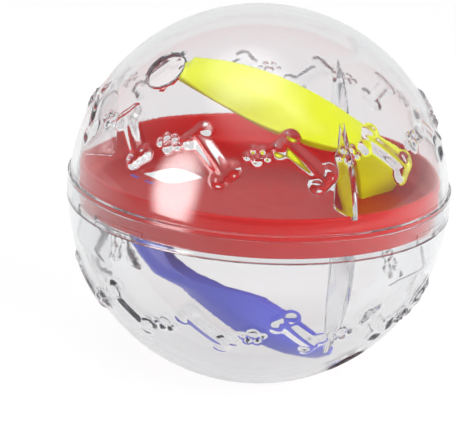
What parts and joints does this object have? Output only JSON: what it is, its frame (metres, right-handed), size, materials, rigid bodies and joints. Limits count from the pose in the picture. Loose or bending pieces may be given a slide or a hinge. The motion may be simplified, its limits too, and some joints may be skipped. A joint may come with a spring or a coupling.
{
  "type": "treat ball",
  "caption": "Clear treat ball of two twist-together half shells, with a red dividing tray and curved treat ramps that feed an outlet hole in each half.",
  "frame": {"origin": "centre of the ball", "axes": "+Z along the axis that the shells twist about, towards the upper shell; -Y towards the viewer of the picture, +X to the viewer's right"},
  "size_m": [0.151, 0.151, 0.15],
  "materials": {
    "clear_plastic": "clear glossy moulded plastic",
    "red_plastic": "glossy moulded plastic",
    "yellow_plastic": "glossy moulded plastic",
    "blue_plastic": "glossy moulded plastic"
  },
  "bodies": {
    "lower_half": {"lower_shell": "clear_plastic"},
    "insert": {"divider_tray": "red_plastic", "upper_ramp": "yellow_plastic", "lower_ramp": "blue_plastic"},
    "upper_half": {"upper_shell": "clear_plastic"}
  },
  "joints": [
    {"name": "shell_twist", "type": "hinge", "parent": "lower_half", "child": "insert", "pos_m": [0, 0, 0], "axis": [0, 0, 1], "range_deg": [-20, 0]},
    {"name": "shell_lift", "type": "slide", "parent": "insert", "child": "upper_half", "axis": [0, 0, 1], "range_m": [0, 0.09]}
  ]
}
